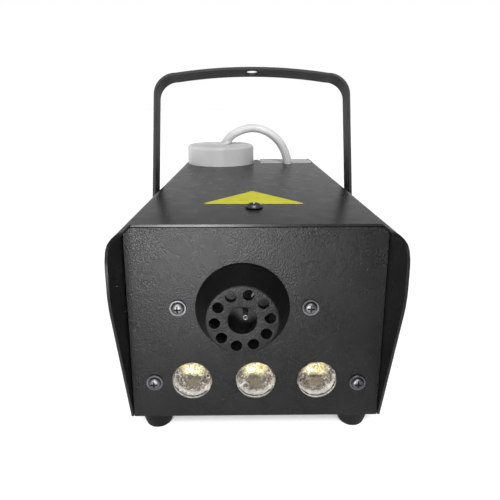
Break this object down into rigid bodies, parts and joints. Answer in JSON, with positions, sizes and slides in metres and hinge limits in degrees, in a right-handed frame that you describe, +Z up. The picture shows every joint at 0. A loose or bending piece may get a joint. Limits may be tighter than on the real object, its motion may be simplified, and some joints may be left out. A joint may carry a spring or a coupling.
{
  "type": "fog machine",
  "caption": "Small black steel fog machine with front nozzle, lamp row between side ears, rear fluid tank with screw cap and suction hose, and a swinging strap handle.",
  "frame": {"origin": "on the floor at the middle of the footprint", "axes": "+X to the right seen from the front, +Y to the rear, +Z up"},
  "size_m": [0.1588, 0.2668, 0.1842],
  "materials": {
    "cover_paint": "satin black paint on folded sheet steel",
    "panel_paint": "fine textured black powder coat",
    "tray_paint": "satin black paint",
    "handle_paint": "satin black paint on flat steel strip",
    "guard_plastic": "fine textured heat-resistant black plastic",
    "knob_plastic": "moulded black plastic",
    "fitting_plastic": "moulded black plastic",
    "foot_rubber": "black rubber",
    "screw_steel": "dark nickel plated steel",
    "zinc_steel": "zinc plated sheet steel",
    "heater_metal": "cast aluminium",
    "brass": "turned brass",
    "tank_plastic": "translucent white polyethylene",
    "cap_plastic": "white polypropylene",
    "hose_silicone": "translucent white silicone",
    "lens_clear": "clear moulded acrylic with a pebbled face",
    "board": "green circuit board",
    "coil": "varnished winding in a steel frame",
    "pump_plastic": "moulded nylon"
  },
  "bodies": {
    "case": {"base_tray": "tray_paint", "bottle": "tank_plastic", "bottle_shelf": "zinc_steel", "cap_grommet": "hose_silicone", "control_board": "board", "cover": "cover_paint", "delivery_hose": "hose_silicone", "fluid_hose": "hose_silicone", "foot_front_left": "foot_rubber", "foot_front_right": "foot_rubber", "foot_rear_left": "foot_rubber", "foot_rear_right": "foot_rubber", "front_panel": "panel_paint", "heater_block": "heater_metal", "heater_plate": "zinc_steel", "heater_stand": "zinc_steel", "heating_element": "zinc_steel", "inlet_contacts": "brass", "inlet_socket": "fitting_plastic", "lamp_board": "board", "lamp_bracket": "heater_metal", "lamp_lens_left": "lens_clear", "lamp_lens_middle": "lens_clear", "lamp_lens_right": "lens_clear", "nozzle_cap": "guard_plastic", "nozzle_tube": "brass", "pickup_filter": "brass", "pivot_nut_left": "zinc_steel", "pivot_nut_right": "zinc_steel", "pivot_washer_left": "foot_rubber", "pivot_washer_right": "foot_rubber", "pump_body": "pump_plastic", "pump_bracket": "zinc_steel", "pump_coil": "coil", "pump_spring": "zinc_steel", "rear_panel": "panel_paint", "remote_socket": "zinc_steel", "screw_cover_top": "screw_steel", "screw_nozzle_left": "screw_steel", "screw_nozzle_right": "screw_steel", "screw_panel_left": "screw_steel", "screw_panel_right": "screw_steel", "screw_rear_left": "screw_steel", "screw_rear_right": "screw_steel", "screw_side_front_left": "screw_steel", "screw_side_front_right": "screw_steel", "screw_side_rear_left": "screw_steel", "screw_side_rear_right": "screw_steel", "standoff_left": "zinc_steel", "standoff_right": "zinc_steel", "switch_frame": "fitting_plastic", "thermal_fuse": "zinc_steel", "thermostat": "fitting_plastic"},
    "handle": {"handle": "handle_paint"},
    "knob_left": {"knob_left": "knob_plastic"},
    "knob_right": {"knob_right": "knob_plastic"},
    "cap": {"bottle_cap": "cap_plastic"},
    "rocker": {"power_rocker": "fitting_plastic"},
    "piston": {"pump_piston": "zinc_steel"}
  },
  "joints": [
    {"name": "handle_swing", "type": "hinge", "parent": "case", "child": "handle", "pos_m": [0, -0.02, 0.0545], "axis": [1, 0, 0], "range_deg": [-32, 120]},
    {"name": "knob_left_turn", "type": "hinge", "parent": "case", "child": "knob_left", "pos_m": [-0.0744, -0.02, 0.0545], "axis": [1, 0, 0], "continuous": true},
    {"name": "knob_right_turn", "type": "hinge", "parent": "case", "child": "knob_right", "pos_m": [0.0744, -0.02, 0.0545], "axis": [1, 0, 0], "continuous": true},
    {"name": "cap_turn", "type": "hinge", "parent": "case", "child": "cap", "pos_m": [-0.0266, 0.0978, 0.116], "axis": [0, 0, 1], "range_deg": [0, 360]},
    {"name": "rocker_tilt", "type": "hinge", "parent": "case", "child": "rocker", "pos_m": [-0.0015, 0.1271, 0.032], "axis": [0, 0, 1], "range_deg": [-22, 0]},
    {"name": "piston_slide", "type": "slide", "parent": "case", "child": "piston", "axis": [0, 0, 1], "range_m": [-0.004, 0.003], "stiffness_N_per_m": 400, "deforming": ["pump_spring"]}
  ]
}
